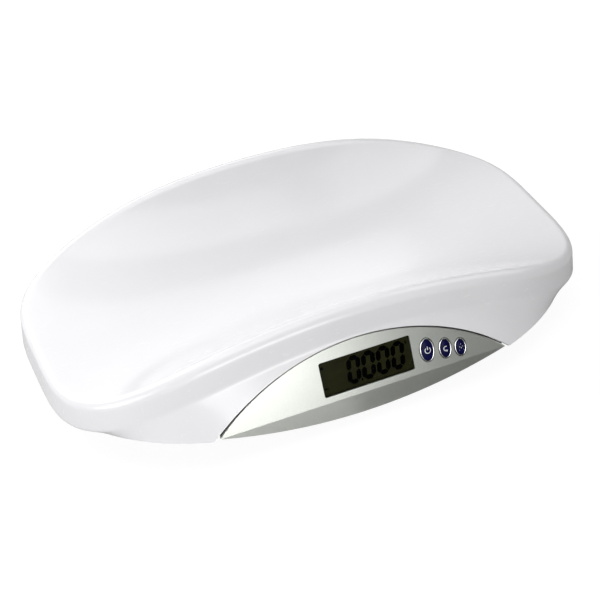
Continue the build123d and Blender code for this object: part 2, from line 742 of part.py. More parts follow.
def make_pan_support():
    """Steel plate between the load cell and the pan, lightened by four windows."""
    plate = rounded_plate(support_length, support_width, support_corner, support_bottom, support_top)
    for sx in (-1, 1):
        for sy in (-1, 1):
            window = Pos(sx * 28, sy * 40) * RectangleRounded(38, 34, 8)
            plate -= Pos(0, 0, support_bottom - 1) * extrude(window, support_thickness + 2)
            window = Pos(sx * 92, 0) * RectangleRounded(22, 70, 8)
        plate -= Pos(0, 0, support_bottom - 1) * extrude(window, support_thickness + 2)
    for x, y in pan_screw_places:
        plate -= rod(x, y, support_bottom - 1, support_top + 1, m4 + hole_clearance)
    for x in cell_live_screws:
        plate -= rod(x, 0, support_bottom - 1, support_top + 1, m6 + hole_clearance)
    return plate


# ---------------------------------------------------------------- leads
def make_lead(points, u):
    """Lead through the tray's front wall and up behind the board to its socket."""
    low = (lead_height - fold_height - lead_w * up_y) / up_z
    turn = panel.from_local_coords(Vector(u, low, lead_w))
    end = panel.from_local_coords(Vector(u, socket_v - socket_height / 2 - 0.1, lead_w))
    path = FilletPolyline(*points, turn, end, radius=lead_bend)
    start = Plane(origin=path @ 0, z_dir=path % 0)
    return sweep(start * Circle(lead_radius), path=path)


def make_cell_lead():
    points = [(cell_lead_u, -cell_width / 2 - 0.2, 26), (cell_lead_u, -45, 26),
              (cell_lead_u, -80, lead_height)]
    return make_lead(points, cell_lead_u)


def make_battery_lead():
    """Runs from the end of the battery box round the load cell."""
    side = cell_length / 2 + 13
    start = (box_half_length + box_wall + 0.2, battery_y - 6, 20)
    return make_lead([start, (side, battery_y - 6, 20), (side, tray_front_y + 26, 24),
                      (battery_lead_u, tray_front_y + 26, lead_height)], battery_lead_u)


# ---------------------------------------------------------------- everything
def build_nodes():
    nodes = {
        "weighing_pan": make_pan(),
        "console_housing": make_console_housing(),
        "console_back": make_console_back(),
        "display_window": make_display_window(),
        "lcd_panel": make_lcd_panel(),
        "lcd_segments": make_lcd_segments(),
        "display_frame": make_display_frame(),
        "zebra_strip": make_zebra_strip(),
        "control_board": make_control_board(),
        "board_parts": make_board_parts(),
        "switch_bodies": make_switch_bodies(),
        "base_tray": make_base_tray(),
        "base_cover": make_base_cover(),
        "battery_door": make_battery_door(),
        "battery_cells": make_batteries(),
        "battery_contacts": make_battery_contacts(),
        "rubber_feet": make_feet(),
        "load_cell": make_load_cell(),
        "cell_base_spacer": make_spacer(cell_fixed_screws, seat_top, cell_bottom),
        "cell_top_spacer": make_spacer(cell_live_screws, cell_top, support_bottom),
        "pan_support": make_pan_support(),
    }
    for name, u, v, half_width, half_height in buttons:
        nodes[name + "_button_ring"] = make_ring(u, v, half_width, half_height)
        nodes[name + "_button_cap"] = make_cap(u, v, half_width, half_height)
        nodes[name + "_switch_plunger"] = make_plunger(u, v)
    small = m3 / 1.2
    board_back = -board_depth - board_thickness
    nodes["board_screws"] = Compound(
        [screw_panel(u, v, board_back, 7.5, small) for u, v in board_screw_places])
    nodes["console_back_screws"] = Compound(
        [screw_panel(u, v, -console_depth, 8, small) for u, v in back_screw_places])
    mount_seat = tray_front_y + tray_wall
    mounts = []
    for x, z in console_mount_places:
        shank = Pos(x, mount_seat - 5.5, z) * Rot(90, 0, 0) * Cylinder(m3, 11)
        head = Pos(x, mount_seat + 0.9, z) * Rot(90, 0, 0) * Cylinder(head_ratio * m3, 1.8)
        mounts.append(shank + head)
    nodes["console_mount_screws"] = Compound(mounts)
    nodes["cover_screws"] = Compound([screw_z(x, y, cover_top, 11, m3) for x, y in cover_screw_places])
    nodes["foot_screws"] = Compound([screw_z(x, y, 4.5, 12, m4, head_up=False) for x, y in foot_places])
    nodes["pan_screws"] = Compound(
        [screw_z(x, y, support_bottom, 10.5, m4, head_up=False) for x, y in pan_screw_places])
    nodes["cell_base_screws"] = Compound(
        [screw_z(x, 0, seat_top - 1.2, 14, m6, head_up=False) for x in cell_fixed_screws])
    reach = support_thickness + top_spacer_height + 12
    nodes["cell_top_screws"] = Compound([screw_z(x, 0, support_top, reach, m6) for x in cell_live_screws])
    stop_top = support_bottom - pan_travel - stop_margin
    nodes["overload_stops"] = Compound([rod(x, y, tray_top - 5, stop_top, m5) for x, y in stop_places])
    nodes["cell_lead"] = make_cell_lead()
    nodes["battery_lead"] = make_battery_lead()
    return nodes


os.makedirs("parts", exist_ok=True)
for node_name, shape in build_nodes().items():
    export_step(shape, f"parts/{node_name}.step")
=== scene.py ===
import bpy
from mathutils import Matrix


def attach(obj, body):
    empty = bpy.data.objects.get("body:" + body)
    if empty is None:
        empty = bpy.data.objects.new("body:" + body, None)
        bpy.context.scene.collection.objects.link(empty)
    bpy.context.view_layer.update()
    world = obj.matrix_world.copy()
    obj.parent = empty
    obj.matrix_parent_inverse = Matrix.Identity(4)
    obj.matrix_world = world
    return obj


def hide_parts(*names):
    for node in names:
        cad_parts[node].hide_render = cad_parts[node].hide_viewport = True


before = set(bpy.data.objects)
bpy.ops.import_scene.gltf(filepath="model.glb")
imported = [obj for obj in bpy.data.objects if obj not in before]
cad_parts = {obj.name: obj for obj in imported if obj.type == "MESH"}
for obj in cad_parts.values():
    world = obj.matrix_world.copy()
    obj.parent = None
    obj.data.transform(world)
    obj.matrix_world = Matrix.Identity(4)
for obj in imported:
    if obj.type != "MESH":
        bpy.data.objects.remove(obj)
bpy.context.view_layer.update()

from math import asin, cos, hypot, pi, radians, sin

import bmesh
import bpy
from bpy.props import FloatProperty, FloatVectorProperty
from mathutils import Matrix, Vector

bl_info = {
    "name": "Baby weighing scale",
    "version": (1, 0, 0),
    "blender": (4, 5, 0),
    "location": "3D Viewport > Sidebar > Scale",
    "description": "Dresses the packed scale: its pan, console, display, buttons, base and stage",
    "category": "Object",
}

MM = 0.001


# ------------------------------------------------------------------ sizes and colours
def length(label, words, millimetres):
    return FloatProperty(name=label, description=words, default=millimetres * MM, unit="LENGTH",
                         subtype="DISTANCE")


def angle_of(label, words, degrees):
    return FloatProperty(name=label, description=words, default=radians(degrees), subtype="ANGLE")


def number(label, words, value):
    return FloatProperty(name=label, description=words, default=value)


def colour(label, words, value):
    return FloatVectorProperty(name=label, description=words, default=value, subtype="COLOR", size=3, min=0,
                               max=1)


class PanSizes(bpy.types.PropertyGroup):
    rim_half_length: length("Rim half length", "Outer edge of the rolled rim along X", 280.8)
    rim_half_width: length("Rim half width", "Outer edge of the rolled rim along Y", 153.3)
    rim_power: number("Rim fullness", "Power of the rim's oval; 2 is an ellipse", 3.77)
    rim_round: length("Rim round", "Radius of the rolled rim", 9)
    trough_end_height: length("Trough end height", "Trough at the middle of its open ends", 63.7)
    trough_side_rise: length("Trough side rise", "How much higher its walls are at the rim's edge", 71.7)
    trough_dip: length("Trough dip", "How far the trough's middle lies below its ends", 2.2)
    quartic_share: number("Wall share", "Share of the rise that is held back to the trough's walls", 0.4)
    crease_end_height: length("Crease end height", "Crease below the flank at the open ends", 29.6)
    crease_side_rise: length("Crease side rise", "How much higher the crease is at the long sides", 58.4)
    crease_rise_power: number("Crease power", "How that rise fades towards the ends", 1.21)
    crease_half_length: length("Crease half length", "Crease's oval along X", 283.4)
    crease_half_width: length("Crease half width", "Crease's oval along Y", 152.2)
    crease_fullness: number("Crease fullness", "Power of the crease's oval", 3.7)
    flank_height: length("Flank height", "From the crease up to the rim's outer edge", 25.9)
    crease_blend: length("Crease blend", "Half length of the soft crease", 3.2)
    lip_half_length: length("Lip half length", "Bottom lip of the apron along X", 278)
    lip_front: length("Lip front", "Front half width of the lip's oval", 190)
    lip_rear: length("Lip rear", "Rear half width of the lip's oval", 175.2)
    lip_power: number("Lip fullness", "Power of the lip's oval", 2.36)
    lip_height: length("Lip height", "Lip above the floor", 27)
    lip_round: length("Lip round", "Round of the moulding's sharp edges", 1.3)
    wall: length("Wall", "Wall of the moulding", 3)
    boss_along: length("Boss place along", "Screw bosses below the trough, along X", 110)
    boss_across: length("Boss place across", "Screw bosses below the trough, along Y", 55)
    boss_radius: length("Boss radius", "Screw bosses below the trough", 6)
    support_top: length("Support level", "Top of the plate that carries the bosses", 46.5)
    rib_width: length("Rib width", "Stiffening ribs below the trough", 2)
    rib_reach: length("Rib reach", "How far the long ribs run past the bosses", 50)
    rib_gap: length("Rib gap", "Between the ribs and the plate below them", 1.5)
    cut_gap: length("Cut-out gap", "Gap between the cut-out and the console", 2.0)


class ConsoleSizes(bpy.types.PropertyGroup):
    half_chord: length("Half chord", "Half the fold line", 150.5)
    arc_height: length("Arc height", "Crescent's height up its facet", 56.4)
    tilt: angle_of("Tilt", "Facet's angle to the floor", 70)
    fold_height: length("Fold height", "Fold line above the floor", 30)
    wall: length("Wall", "Wall of the housing", 2.4)
    # the seal below is black and stands behind the gap round the console's arc, where its black paints the
    # shade seen in that gap
    shade_seal_reach: length("Seal reach", "How far the black seal stands out of the console's arc", 0.9)
    shade_seal_root: length("Seal root", "How far the seal reaches inside the arc", 2.4)
    shade_seal_depth: length("Seal depth", "Seal's face behind the facet", 5.3)
    shade_seal_wall: length("Seal wall", "Thickness of the seal", 0.9)
    shade_seal_end: length("Seal end", "How far above the fold line the seal ends", 1.5)
    window_width: length("Window width", "Display window", 95.1)
    window_height: length("Window height", "Display window", 35.7)
    window_u: length("Window place", "Window's centre along the fold line", 5.75)
    window_v: length("Window level", "Window's centre up the facet", 24.15)
    digit_height: length("Digit height", "Digits of the display", 28.6)
    digit_width: length("Digit width", "Digits of the display", 14.4)
    digit_stroke: length("Digit stroke", "Width of a segment", 4.9)
    digit_slant: angle_of("Digit slant", "Lean of the digits", 6)
    digit_pitch: length("Digit pitch", "From one digit to the next", 15.5)
    digit_first: length("First digit", "Its centre, from the window's", -12.55)
    digit_level: length("Digit level", "Front of the cell below the facet", 3.6)
    sign_inset: length("Sign inset", "Small signs in the display's corners", 3.6)
    sign_stroke: length("Sign stroke", "Width of their lines", 0.8)
    ring_rim: length("Ring rim", "Width of the ring round a button", 1.5)
    ring_proud: length("Ring height", "Ring above the facet", 0.9)
    cap_proud: length("Cap height", "Cap's edge above the facet", 1.3)
    cap_dome: length("Cap dome", "Crown of a cap above its edge", 0.9)
    cap_clearance: length("Cap clearance", "Gap round a cap", 0.25)


class Colours(bpy.types.PropertyGroup):
    pan: colour("Pan", "Glossy white of the pan", (0.88, 0.875, 0.895))
    silver: colour("Console", "Silver paint of the console", (0.53, 0.545, 0.51))
    olive: colour("Display", "Polariser of the display", (0.019, 0.019, 0.006))
    ink: colour("Digits", "Dark segments of the display", (0.0006, 0.0006, 0.0006))
    navy: colour("Buttons", "Blue of the button caps", (0.004, 0.004, 0.045))
    legend: colour("Legends", "Pale marks on the caps", (0.86, 0.87, 0.92))
    chrome: colour("Rings", "Plated rings", (0.74, 0.75, 0.76))
    base: colour("Base", "White of the base's shells", (0.80, 0.80, 0.80))
    backdrop: colour("Backdrop", "Floor of the stage", (0.50, 0.50, 0.50))


class StageSizes(bpy.types.PropertyGroup):
    camera_azimuth: angle_of("Camera azimuth", "Camera's turn to the left of straight ahead", 19.23)
    camera_elevation: angle_of("Camera elevation", "Camera's angle above the floor", 35.97)
    camera_roll: angle_of("Camera roll", "Camera's roll", -5.36)
    camera_distance: length("Camera distance", "From the middle of the rim's level", 1725.26)
    aim_height: length("Aim height", "Point that the camera is aimed at, above the floor", 60)
    focal_share: number("Focal share", "Focal length over the frame's width", 1678.04 / 600)
    shift_right: number("Shift right", "Camera shift over the frame's width", 2.89 / 600)
    shift_up: number("Shift up", "Camera shift over the frame's width", -25.65 / 600)


GROUPS = {
    "scale_pan": PanSizes,
    "scale_console": ConsoleSizes,
    "scale_colours": Colours,
    "scale_stage": StageSizes,
}


# ------------------------------------------------------------------ mesh helpers
def sheet(rings):
    """Sheet through closed rings of points: a grid gives one row of vertices to each ring."""
    across = len(rings[0])
    down = len(rings) - 1
    bm = bmesh.new()
    grid = bmesh.ops.create_grid(bm, x_segments=across, y_segments=down, size=1)
    for vert in grid["verts"]:
        i = round((vert.co.x + 1) / 2 * across)
        j = round((vert.co.y + 1) / 2 * down)
        vert.co = rings[j][i % across]
    bmesh.ops.remove_doubles(bm, verts=bm.verts, dist=1e-7)
    return bm


def cap_end(bm, point):
    """Closes the boundary loop nearest to a point with a fan to that point."""
    open_edges = [e for e in bm.edges if e.is_boundary]
    loops = []
    while open_edges:
        loop = [open_edges.pop()]
        reach = set(loop[0].verts)
        grown = True
        while grown:
            grown = False
            for edge in list(open_edges):
                if reach & set(edge.verts):
                    reach |= set(edge.verts)
                    loop.append(edge)
                    open_edges.remove(edge)
                    grown = True
        loops.append(loop)
    nearest = min(loops, key=lambda l: sum((e.verts[0].co - point).length for e in l) / len(l))
    middle = bm.verts.new(point)
    for edge in nearest:  # each face by hand, as a merge leaves them in another order each run
        bm.faces.new((edge.verts[0], edge.verts[1], middle))


def mesh_object(name, bm, material):
    """Object in the scene, made from a finished mesh."""
    mesh = bpy.data.meshes.new(name)
    bm.to_mesh(mesh)
    bm.free()
    mesh.materials.append(material)
    obj = bpy.data.objects.new(name, mesh)
    bpy.context.scene.collection.objects.link(obj)
    return obj


def piece(name, bm, body, material, smooth=True, outward=True):
    """Piece in the shared frame, which rides on a body and wears a material."""
    if outward:
        bmesh.ops.recalc_face_normals(bm, faces=bm.faces)
    for face in bm.faces:
        face.smooth = smooth
    obj = mesh_object(name, bm, material)
    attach(obj, body)
    return obj


def dress(node, material):
    """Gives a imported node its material."""
    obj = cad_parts[node]
    if not obj.material_slots:
        obj.data.materials.append(material)
    for slot in obj.material_slots:
        slot.link = "OBJECT"
        slot.material = material


# ------------------------------------------------------------------ material helpers
class Finish:
    """Node tree of one finish, with short words for the nodes that these finishes share."""

    def __init__(self, name):
        self.material = bpy.data.materials.get(name) or bpy.data.materials.new(name)
        self.material.use_nodes = True
        self.tree = self.material.node_tree
        self.tree.nodes.clear()
        self.output = self.tree.nodes.new("ShaderNodeOutputMaterial")
        self.shader = self.tree.nodes.new("ShaderNodeBsdfPrincipled")
        self.tree.links.new(self.shader.outputs[0], self.output.inputs["Surface"])
        self.where = self.tree.nodes.new("ShaderNodeTexCoord").outputs["Object"]
        self.height = None

    def node(self, kind, **inputs):
        made = self.tree.nodes.new(kind)
        for key, value in inputs.items():
            self.feed(made.inputs[key.replace("_", " ")], value)
        return made

    def feed(self, socket, value):
        if isinstance(value, bpy.types.NodeSocket):
            self.tree.links.new(value, socket)
        else:
            socket.default_value = value

    def set(self, **values):
        for key, value in values.items():
            self.feed(self.shader.inputs[key.replace("_", " ")], value)

    def stretched(self, scale, turn=(0, 0, 0)):
        mapping = self.node("ShaderNodeMapping", Vector=self.where)
        mapping.inputs["Scale"].default_value = scale
        mapping.inputs["Rotation"].default_value = turn
        return mapping.outputs[0]

    def noise(self, scale, detail=3.0, rough=0.5, vector=None):
        made = self.node("ShaderNodeTexNoise", Scale=scale, Detail=detail, Roughness=rough,
                         Vector=vector or self.where)
        return made.outputs["Fac"]

    def cells(self, scale):
        made = self.node("ShaderNodeTexVoronoi", Scale=scale, Vector=self.where)
        return made.outputs["Distance"]

    def spread(self, value, low, high, start=0.3, end=0.7):
        """Number that follows a pattern between two values."""
        made = self.tree.nodes.new("ShaderNodeMapRange")
        made.clamp = True
        self.feed(made.inputs["Value"], value)
        for key, number_in in (("From Min", start), ("From Max", end), ("To Min", low), ("To Max", high)):
            made.inputs[key].default_value = number_in
        return made.outputs["Result"]

    def blend_colours(self, factor, first, second):
        made = self.tree.nodes.new("ShaderNodeMix")
        made.data_type = "RGBA"
        made.inputs[0].default_value = 0.5
        self.feed(made.inputs[0], factor)
        for socket, colour_in in ((made.inputs[6], first), (made.inputs[7], second)):
            self.feed(socket, (*colour_in, 1) if isinstance(colour_in, tuple) else colour_in)
        return made.outputs[2]

    def bump(self, value, distance, strength):
        """Adds relief; distance is its depth in metres."""
        made = self.tree.nodes.new("ShaderNodeBump")
        made.inputs["Strength"].default_value = strength
        made.inputs["Distance"].default_value = distance
        self.feed(made.inputs["Height"], value)
        if self.height is not None:
            self.tree.links.new(self.height, made.inputs["Normal"])
        self.height = made.outputs["Normal"]
        self.tree.links.new(self.height, self.shader.inputs["Normal"])


def shade(rgb, factor):
    return tuple(min(1.0, c * factor) for c in rgb)


# ------------------------------------------------------------------ finishes
def pan_gloss(rgb):
    """High-gloss ABS: a slow drift of tone, moulding ripple and hairline wear."""
    f = Finish("pan_gloss_white")
    drift = f.noise(9, 2)
    f.set(Base_Color=f.blend_colours(f.spread(drift, 0, 1), shade(rgb, 0.985), shade(rgb, 1.012)))
    hairs = f.noise(60, 6, 0.7, f.stretched((1, 14, 3), (0.2, 0.4, 0.6)))
    f.set(Roughness=f.spread(hairs, 0.20, 0.29), Coat_Weight=0.35, Coat_Roughness=0.09, IOR=1.49,
          Specular_IOR_Level=0.45)
    f.bump(f.noise(26, 2, 0.4), 0.00012, 0.25)
    f.bump(f.noise(700, 2), 0.00001, 0.3)
    return f.material


def silver_paint(rgb):
    """Silver lacquer with fine flake."""
    f = Finish("console_silver_paint")
    flake = f.noise(900, 3)
    drift = f.noise(14, 3)
    tone = f.blend_colours(f.spread(flake, 0, 1), shade(rgb, 1.04), shade(rgb, 0.96))
    f.set(Base_Color=f.blend_colours(f.spread(drift, 0, 0.3), tone, shade(rgb, 1.03)), Metallic=0.85,
          Roughness=f.spread(f.noise(420, 3), 0.28, 0.33))
    f.bump(drift, 0.00002, 0.1)
    return f.material


def moulded(name, rgb, roughness=0.5, grain=1100, depth=0.00002):
    """Spark-textured moulding with faint flow marks."""
    f = Finish(name)
    flow = f.noise(22, 4, 0.6, f.stretched((1, 3, 1)))
    f.set(Base_Color=f.blend_colours(f.spread(flow, 0, 1), shade(rgb, 0.94), shade(rgb, 1.05)),
          Roughness=f.spread(f.noise(grain * 0.4, 3), roughness - 0.06, roughness + 0.08), IOR=1.5)
    f.bump(f.noise(grain, 3, 0.6), depth, 0.5)
    return f.material


def soft_rubber(name, rgb):
    f = Finish(name)
    dust = f.noise(90, 5, 0.65)
    f.set(Base_Color=f.blend_colours(f.spread(dust, 0, 1, 0.45, 0.75), rgb, shade(rgb, 1.9)),
          Roughness=f.spread(dust, 0.62, 0.85), IOR=1.5, Specular_IOR_Level=0.3)
    f.bump(f.noise(1500, 3), 0.00003, 0.6)
    return f.material


def plated(name, rgb, roughness=0.12):
    """Bright plating with faint waviness."""
    f = Finish(name)
    haze = f.noise(180, 4)
    f.set(Base_Color=f.blend_colours(f.spread(haze, 0, 1), shade(rgb, 0.93), shade(rgb, 1.05)), Metallic=1.0,
          Roughness=f.spread(haze, roughness, roughness + 0.1))
    f.bump(f.noise(300, 2), 0.00002, 0.3)
    return f.material


def milled_metal(name, rgb, along=(1, 40, 40)):
    """Metal with fine parallel tool marks."""
    f = Finish(name)
    marks = f.noise(90, 5, 0.7, f.stretched(along))
    f.set(Base_Color=f.blend_colours(f.spread(marks, 0, 1), shade(rgb, 0.86), shade(rgb, 1.06)), Metallic=1.0,
          Roughness=f.spread(marks, 0.28, 0.46))
    f.bump(marks, 0.00002, 0.4)
    return f.material


def button_gloss(rgb):
    """Navy lacquer under a clear coat."""
    f = Finish("button_navy_gloss")
    drift = f.noise(160, 3)
    f.set(Base_Color=f.blend_colours(f.spread(drift, 0, 1), shade(rgb, 0.8), shade(rgb, 1.25)),
          Roughness=f.spread(f.noise(500, 3), 0.30, 0.38), Coat_Weight=0.05, Coat_Roughness=0.15, IOR=1.4,
          Specular_IOR_Level=0.08)
    f.bump(f.noise(1300, 2), 0.00001, 0.15)
    return f.material


def legend_ink(rgb):
    """Screen-printed ink."""
    f = Finish("button_legend_ink")
    grain = f.noise(2200, 3)
    f.set(Base_Color=f.blend_colours(f.spread(grain, 0, 1), shade(rgb, 0.86), rgb), Roughness=0.5)
    f.bump(grain, 0.00001, 0.4)
    return f.material


def polariser(rgb):
    """Dark olive cell of the display, with the film's faint streaks."""
    f = Finish("display_polariser")
    film = f.noise(40, 4, 0.6, f.stretched((1, 6, 6), (0, 0.3, 0)))
    f.set(Base_Color=f.blend_colours(f.spread(film, 0, 1), shade(rgb, 0.86), shade(rgb, 1.16)),
          Roughness=f.spread(film, 0.42, 0.52), IOR=1.4, Specular_IOR_Level=0.06)
    f.bump(f.noise(2500, 2), 0.000004, 0.3)
    return f.material


def segment_ink(rgb):
    f = Finish("display_segment_ink")
    grain = f.noise(900, 2)
    f.set(Base_Color=f.blend_colours(f.spread(grain, 0, 1), shade(rgb, 0.8), shade(rgb, 1.3)),
          Roughness=f.spread(grain, 0.5, 0.6), Specular_IOR_Level=0.01)
    return f.material


def clear_window():
    """Clear acrylic: thin, faintly tinted and hard-coated."""
    f = Finish("display_clear_window")
    smear = f.noise(30, 4, 0.6)
    clear = f.tree.nodes.new("ShaderNodeBsdfTransparent")
    tint = f.blend_colours(f.spread(smear, 0, 1), (0.93, 0.94, 0.92), (0.97, 0.98, 0.96))
    f.tree.links.new(tint, clear.inputs["Color"])
    gloss = f.tree.nodes.new("ShaderNodeBsdfGlossy")
    gloss.inputs["Color"].default_value = (1, 1, 1, 1)
    f.tree.links.new(f.spread(smear, 0.10, 0.16), gloss.inputs["Roughness"])
    facing = f.node("ShaderNodeFresnel", IOR=1.045)
    mix = f.tree.nodes.new("ShaderNodeMixShader")
    f.tree.links.new(facing.outputs[0], mix.inputs[0])
    f.tree.links.new(clear.outputs[0], mix.inputs[1])
    f.tree.links.new(gloss.outputs[0], mix.inputs[2])
    f.tree.links.new(mix.outputs[0], f.output.inputs["Surface"])
    f.tree.nodes.remove(f.shader)
    return f.material


def circuit_board():
    """Green solder mask with copper tracks under it."""
    f = Finish("circuit_board_mask")
    tracks = f.cells(260)
    f.set(Base_Color=f.blend_colours(f.spread(tracks, 0, 1, 0.2, 0.35), (0.05, 0.24, 0.10), (0.02, 0.13, 0.05)),
          Roughness=f.spread(f.noise(400), 0.3, 0.45))
    f.bump(tracks, 0.00003, 0.5)
    return f.material


def battery_foil():
    """Printed jacket with a bare band at the end."""
    f = Finish("battery_foil_jacket")
    bands = f.node("ShaderNodeTexWave", Scale=18.0, Vector=f.where)
    f.set(Base_Color=f.blend_colours(f.spread(bands.outputs["Fac"], 0, 1, 0.45, 0.55), (0.10, 0.13, 0.12),
                                     (0.42, 0.33, 0.12)),
          Metallic=0.4, Roughness=f.spread(f.noise(200), 0.28, 0.4))
    return f.material


# ------------------------------------------------------------------ pan
def trough_height(p, x, y):
    """Height of the trough's surface: a saddle, quadratic along X and quartic along Y."""
    along = 1 - (x / p.rim_half_length) ** 2
    across = (y / p.rim_half_width) ** 2
    climb = p.trough_side_rise + p.trough_dip
    share = p.quartic_share
    rise = climb * ((1 - share) * across + share * across ** 2) - p.trough_dip
    return p.trough_end_height + along * rise


def trough_normal(p, x, y):
    step = 0.0002
    dx = (trough_height(p, x + step, y) - trough_height(p, x - step, y)) / (2 * step)
    dy = (trough_height(p, x, y + step) - trough_height(p, x, y - step)) / (2 * step)
    return Vector((-dx, -dy, 1)).normalized()


def oval_point(half_length, front, rear, power, angle):
    """Point and outward normal of a superellipse at an angle."""
    c, s = cos(angle), sin(angle)
    width = rear if s > 0 else front
    reach = (abs(c / half_length) ** power + abs(s / width) ** power) ** (-1 / power)
    x, y = reach * c, reach * s
    slope = Vector((
        (1 if c > 0 else -1) * abs(x / half_length) ** (power - 1) / half_length,
        (1 if s > 0 else -1) * abs(y / width) ** (power - 1) / width,
        0,
    ))
    return Vector((x, y, 0)), slope.normalized()


def crease_height(p, x):
    share = max(0.0, 1 - (x / p.rim_half_length) ** 2)
    return p.crease_end_height + p.crease_side_rise * share ** p.crease_rise_power


def rim_edge(p, angle):
    point, _ = oval_point(p.rim_half_length, p.rim_half_width, p.rim_half_width, p.rim_power, angle)
    return point


def flank_point(p, angle, z):
    """Point of the flank, which runs straight from the crease's oval up to the rim's."""
    low, _ = oval_point(p.crease_half_length, p.crease_half_width, p.crease_half_width, p.crease_fullness,
                        angle)
    high = rim_edge(p, angle)
    share = (z - crease_height(p, high.x)) / p.flank_height
    point = low + (high - low) * share
    point.z = z
    return point


def flank_normal(p, angle, z):
    step = 0.0004
    along = flank_point(p, angle + step, z) - flank_point(p, angle - step, z)
    up = flank_point(p, angle, z + step) - flank_point(p, angle, z - step)
    return along.cross(up).normalized()


def rim_ball(p, angle, guess):
    """Ball that rolls along the rim, touching the trough and the flank.

    Returns the trough's point (x, y) and the flank's height at which it touches them.
    """
    x, y, z = guess

    def miss(x, y, z):
        on_trough = Vector((x, y, trough_height(p, x, y))) - p.rim_round * trough_normal(p, x, y)
        on_flank = flank_point(p, angle, z) - p.rim_round * flank_normal(p, angle, z)
        return on_trough - on_flank

    step, close_enough, tries = 1e-6, 1e-8, 12
    for _ in range(tries):
        error = miss(x, y, z)
        if error.length < close_enough:
            break
        columns = [(miss(x + step, y, z) - error) / step, (miss(x, y + step, z) - error) / step,
                   (miss(x, y, z + step) - error) / step]
        change = Matrix(columns).transposed().inverted() @ error
        x, y, z = x - change.x, y - change.y, z - change.z
    return x, y, z


def turn_between(first, second, share):
    """Unit vector part of the way round from one to another."""
    angle = first.angle(second)
    return (first * sin((1 - share) * angle) + second * sin(share * angle)) / sin(angle)


def panel_axes(c):
    """Frame of the console's facet: u along the fold line, v up the facet, w out of it."""
    fold_y = fold_line_y(bpy.context.scene.scale_pan, c)
    up = Vector((0, cos(c.tilt), sin(c.tilt)))
    out = Vector((0, -sin(c.tilt), cos(c.tilt)))
    return Vector((0, fold_y, c.fold_height)), Vector((1, 0, 0)), up, out


def fold_line_y(p, c):
    return -p.lip_front * (1 - (c.half_chord / p.lip_half_length) ** p.lip_power) ** (1 / p.lip_power)


def on_panel(c, u, v, w):
    origin, along, up, out = panel_axes(c)
    return origin + along * u + up * v + out * w


def arc_radius(c):
    return (c.half_chord ** 2 + c.arc_height ** 2) / (2 * c.arc_height)


def arc_miss(p, c, point):
    """How far a point is outside the pan's cut-out, measured on the console's facet."""
    origin, along, up, _ = panel_axes(c)
    offset = point - origin
    middle = c.arc_height - arc_radius(c)
    return hypot(offset.dot(along), offset.dot(up) - middle) - arc_radius(c) - p.cut_gap


def lip_point(p, angle):
    point, _ = oval_point(p.lip_half_length, p.lip_front, p.lip_rear, p.lip_power, angle)
    point.z = p.lip_height
    return point


def halve(low, high, test, tries=50):
    """Where a rising test changes sign between two values."""
    for _ in range(tries):
        middle = (low + high) / 2
        if test(middle) < 0:
            low = middle
        else:
            high = middle
    return (low + high) / 2


def pan_angles(p, c, front=160, rest=352):
    """Angles of the pan's columns, with one exactly at each end of the cut-out."""
    tip = halve(-pi / 2, -0.2, lambda a: arc_miss(p, c, lip_point(p, a)))
    first = -pi - tip
    spread = tip - first
    angles = [first + spread * i / front for i in range(front)]
    return angles + [tip + (2 * pi - spread) * i / rest for i in range(rest)]


def pan_column(p, c, angle, guess):
    """Points of the pan's skin from the trough's middle, over the rim, to the lip or the cut-out."""
    trough_rings, rim_rings, flank_rings, blend_rings, apron_rings = 44, 12, 5, 7, 16
    crowding = 1.35     # the trough's rings lie closer together towards the rim
    first_ring = 0.015  # the first one's share of the way, round the fan in the middle
    x, y, z = rim_ball(p, angle, guess)
    points = []
    for i in range(trough_rings):
        share = 1 - (1 - i / trough_rings) ** crowding
        share = first_ring + (1 - first_ring) * share
        points.append(Vector((x * share, y * share, trough_height(p, x * share, y * share))))
    first, last = trough_normal(p, x, y), flank_normal(p, angle, z)
    ball = flank_point(p, angle, z) - p.rim_round * last
    for i in range(rim_rings + 1):
        points.append(ball + p.rim_round * turn_between(first, last, i / rim_rings))
    crease_z = crease_height(p, rim_edge(p, angle).x)
    crease = flank_point(p, angle, crease_z)
    lip = lip_point(p, angle)
    end = lip
    if arc_miss(p, c, lip) < 0:
        share = halve(0, 1, lambda s: -arc_miss(p, c, crease.lerp(lip, s)))
        end = crease.lerp(lip, share)
    reach = min(p.crease_blend, 0.7 * (end - crease).length)
    above = flank_point(p, angle, crease_z + reach)
    below = crease + (end - crease).normalized() * reach
    start = points[-1]
    for i in range(1, flank_rings + 1):
        points.append(start.lerp(above, i / flank_rings))
    for i in range(1, blend_rings + 1):
        t = i / blend_rings
        points.append(above * (1 - t) ** 2 + crease * 2 * t * (1 - t) + below * t ** 2)
    for i in range(1, apron_rings + 1):
        points.append(below.lerp(end, i / apron_rings))
    return points, (x, y, z)


